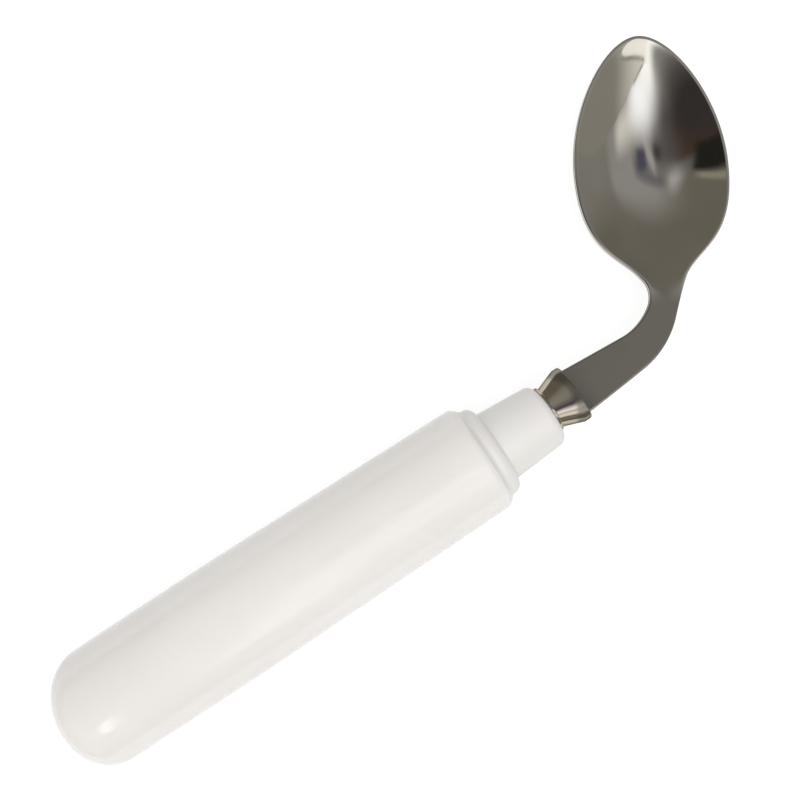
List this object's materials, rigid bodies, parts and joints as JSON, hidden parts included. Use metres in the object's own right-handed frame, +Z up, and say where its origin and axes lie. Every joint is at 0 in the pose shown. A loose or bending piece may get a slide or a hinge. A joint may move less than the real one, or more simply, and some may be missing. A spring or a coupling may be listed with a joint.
{
  "type": "built-up handle spoon",
  "caption": "Spoon with a thick hollow grip, a plastic neck plug, a metal ferrule and a dished bowl bent to one side, for eating with a weak grasp.",
  "frame": {"origin": "middle of the part's outline seen from above, on the surface that it rests on", "axes": "+X along the grip from its domed end to its neck, +Y to the side that the bowl is bent to, +Z up, out of the bowl's hollow"},
  "size_m": [0.2026, 0.0772, 0.028],
  "materials": {
    "grip_plastic": "satin warm off-white",
    "plug_plastic": "satin white",
    "ferrule_steel": "satin steel",
    "spoon_steel": "polished stainless steel"
  },
  "bodies": {
    "root": {"grip_sleeve": "grip_plastic", "neck_plug": "plug_plastic", "ferrule": "ferrule_steel", "spoon": "spoon_steel"}
  },
  "joints": []
}
